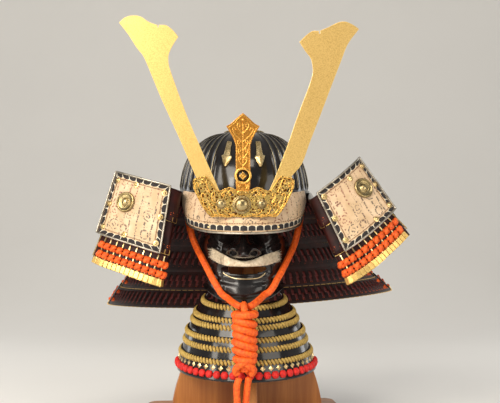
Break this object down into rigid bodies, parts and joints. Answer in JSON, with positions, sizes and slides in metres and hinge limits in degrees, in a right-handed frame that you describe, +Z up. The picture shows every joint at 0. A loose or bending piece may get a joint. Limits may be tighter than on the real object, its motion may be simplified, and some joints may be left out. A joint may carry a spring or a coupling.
{
  "type": "samurai helmet with face mask and throat guard on a wooden stand",
  "caption": "Japanese warrior's helmet with tall gilt horns, flared neck guard, turned-back ends, moustached half mask and laced throat guard, tied on a crossed-board stand.",
  "frame": {"origin": "floor level under the helmet's axis, on the underside of the stand's base board", "axes": "+Z up, the mask looks along -Y, the wearer's left is +X"},
  "size_m": [0.52, 0.4347, 0.6636],
  "materials": {
    "black_lacquer": "polished black lacquer",
    "gilt_matte": "fine matte gilding",
    "gilt_engraved": "engraved gilding",
    "aged_brass": "aged brass",
    "silver_rim": "worn silver edging",
    "printed_leather": "printed leather",
    "cream_fur": "soft fur",
    "lip_gilt": "pale gilding",
    "orange_cord": "braided cord",
    "honey_wood": "plain oiled wood"
  },
  "bodies": {
    "root": {"bowl": "black_lacquer", "bowl_band": "black_lacquer", "neck_lame_1": "black_lacquer", "neck_lame_2": "black_lacquer", "neck_lame_3": "black_lacquer", "neck_lame_4": "black_lacquer", "neck_lame_5": "black_lacquer", "face_mask": "black_lacquer", "throat_lame_1": "black_lacquer", "throat_lame_2": "black_lacquer", "throat_lame_3": "black_lacquer", "throat_lame_4": "black_lacquer", "horn_left": "gilt_matte", "horn_right": "gilt_matte", "crest_base": "gilt_engraved", "crest_plate": "gilt_engraved", "crest_ring": "gilt_engraved", "crest_clip": "gilt_engraved", "crown_ornament": "aged_brass", "dart_left": "aged_brass", "dart_right": "aged_brass", "boss_centre": "aged_brass", "boss_left": "aged_brass", "boss_right": "aged_brass", "turnback_disc_left": "aged_brass", "turnback_disc_right": "aged_brass", "peak_rim": "silver_rim", "turnback_rim_left": "silver_rim", "turnback_rim_right": "silver_rim", "peak": "printed_leather", "turnback_panel_left": "printed_leather", "turnback_panel_right": "printed_leather", "moustache": "cream_fur", "lip_line": "lip_gilt", "chin_cord_left": "orange_cord", "chin_cord_right": "orange_cord", "chin_knot": "orange_cord", "cord_tail_left": "orange_cord", "cord_tail_right": "orange_cord", "stand_base": "honey_wood", "stand_board_across": "honey_wood", "stand_board_fore_aft": "honey_wood"}
  },
  "joints": []
}
